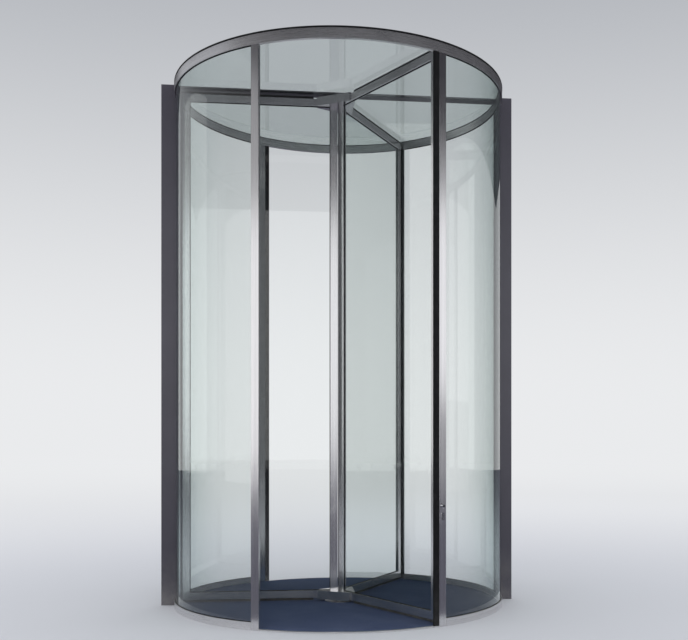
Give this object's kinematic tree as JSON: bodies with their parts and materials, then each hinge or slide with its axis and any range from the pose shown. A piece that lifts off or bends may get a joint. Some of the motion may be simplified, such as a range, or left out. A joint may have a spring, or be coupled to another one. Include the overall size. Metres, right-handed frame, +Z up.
{
  "type": "revolving door",
  "caption": "Tall glazed revolving door: wings with brush seals turn in a round drum of curved glass with slim stainless profiles, glass roof, mat and facade jambs.",
  "frame": {"origin": "on the axis that the wings turn about, at floor level under the drum", "axes": "+Z up; -Y towards the outside of the building; +X to the right seen from outside, along the facade"},
  "size_m": [3.24, 3.0036, 4.72],
  "materials": {
    "stainless_profile": "brushed and lightly polished stainless steel",
    "facade_paint": "satin powder coat, dark purple-grey",
    "curved_glass": "clear curved laminated glass, slightly green",
    "wing_glass": "clear toughened glass",
    "roof_glass": "clear flat laminated glass",
    "roof_gasket": "black rubber of the roof's edge trim and the safety edges",
    "brush_fibre": "black brush fibre",
    "mat_textile": "dark slate entrance matting",
    "lock_chrome": "polished chrome"
  },
  "bodies": {
    "drum": {"base_ring_left": "stainless_profile", "base_ring_right": "stainless_profile", "floor_bearing": "stainless_profile", "floor_mat": "mat_textile", "header": "facade_paint", "jamb_left": "facade_paint", "jamb_right": "facade_paint", "key_switch": "lock_chrome", "lock_plate": "lock_chrome", "post_back_left": "stainless_profile", "post_back_right": "stainless_profile", "post_front_left": "stainless_profile", "post_front_right": "stainless_profile", "roof_glass_back": "roof_glass", "roof_glass_front": "roof_glass", "roof_trim": "roof_gasket", "safety_edges": "roof_gasket", "thresholds": "stainless_profile", "top_bearing": "stainless_profile", "top_ring_back": "stainless_profile", "top_ring_front": "stainless_profile", "wall_glass_back_left": "curved_glass", "wall_glass_back_right": "curved_glass", "wall_glass_front_left": "curved_glass", "wall_glass_front_right": "curved_glass"},
    "rotor": {"bottom_hub": "stainless_profile", "shaft": "stainless_profile", "top_hub": "stainless_profile", "wing_back_bottom_rail": "stainless_profile", "wing_back_brushes": "brush_fibre", "wing_back_glass": "wing_glass", "wing_back_inner_stile": "stainless_profile", "wing_back_outer_stile": "stainless_profile", "wing_back_top_rail": "stainless_profile", "wing_front_bottom_rail": "stainless_profile", "wing_front_brushes": "brush_fibre", "wing_front_glass": "wing_glass", "wing_front_inner_stile": "stainless_profile", "wing_front_outer_stile": "stainless_profile", "wing_front_top_rail": "stainless_profile", "wing_left_bottom_rail": "stainless_profile", "wing_left_brushes": "brush_fibre", "wing_left_glass": "wing_glass", "wing_left_inner_stile": "stainless_profile", "wing_left_outer_stile": "stainless_profile", "wing_left_top_rail": "stainless_profile"}
  },
  "joints": [
    {"name": "rotor_turn", "type": "hinge", "parent": "drum", "child": "rotor", "pos_m": [0, 0, 0], "axis": [0, 0, 1], "continuous": true}
  ]
}
